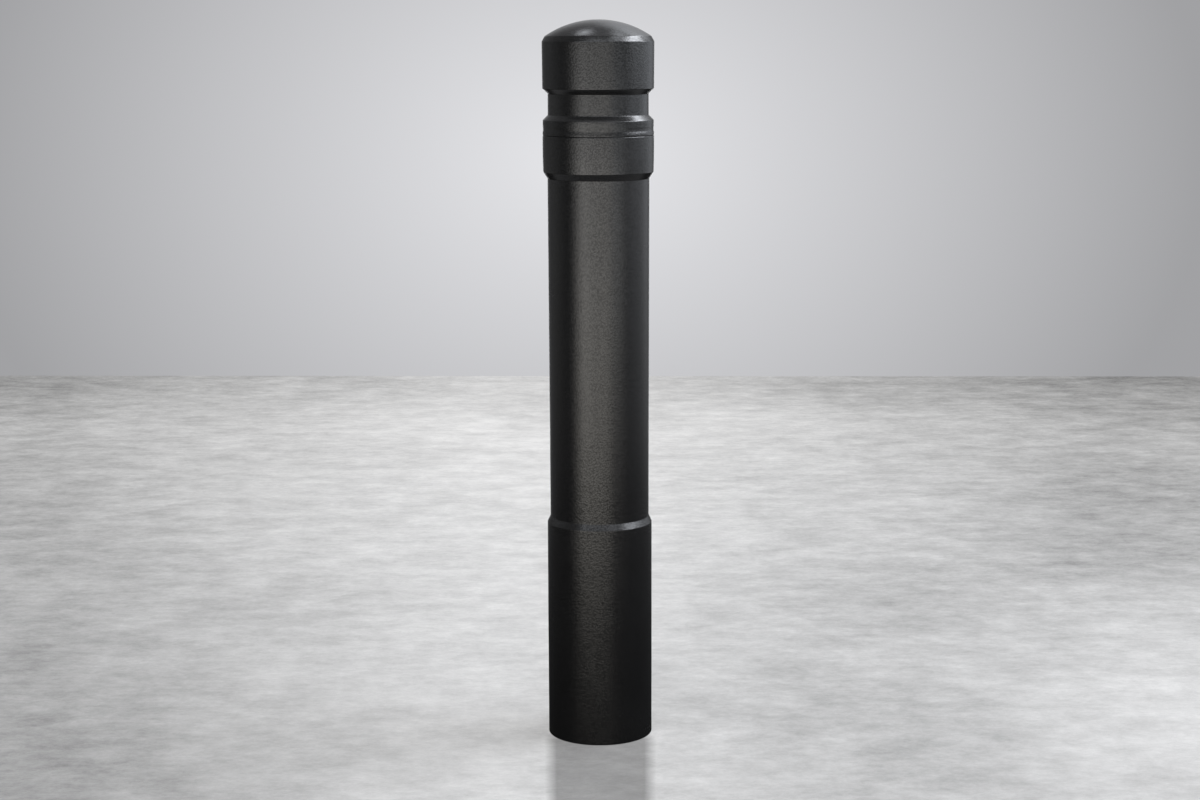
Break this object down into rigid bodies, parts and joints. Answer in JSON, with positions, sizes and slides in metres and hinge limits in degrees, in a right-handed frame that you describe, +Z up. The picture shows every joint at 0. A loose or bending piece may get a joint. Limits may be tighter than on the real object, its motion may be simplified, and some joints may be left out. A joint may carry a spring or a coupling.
{
  "type": "bollard cover sleeve",
  "caption": "Tall round moulded-plastic sleeve with a wider foot skirt, a collar, a bare band recess and a push-fit domed head. It slides over a steel bollard post on foam strips.",
  "frame": {"origin": "centre of the foot rim, on the ground and on the post's axis", "axes": "+Z up along the post's axis, towards the dome; X and Y run through the middles of the foam strips"},
  "size_m": [0.2022, 0.2022, 1.32],
  "materials": {
    "moulded_plastic": "black polyethylene, satin, with a fine pebbled grain",
    "foam": "dark grey closed-cell foam, matt"
  },
  "bodies": {
    "sleeve": {"sleeve_body": "moulded_plastic", "lower_foam_strip_1": "foam", "lower_foam_strip_2": "foam", "lower_foam_strip_3": "foam", "lower_foam_strip_4": "foam", "upper_foam_strip_1": "foam", "upper_foam_strip_2": "foam", "upper_foam_strip_3": "foam", "upper_foam_strip_4": "foam"},
    "head": {"head_cap": "moulded_plastic", "spigot_seal": "foam"}
  },
  "joints": [
    {"name": "head_lift", "type": "slide", "parent": "sleeve", "child": "head", "axis": [0, 0, 1], "range_m": [0, 0.06]}
  ]
}
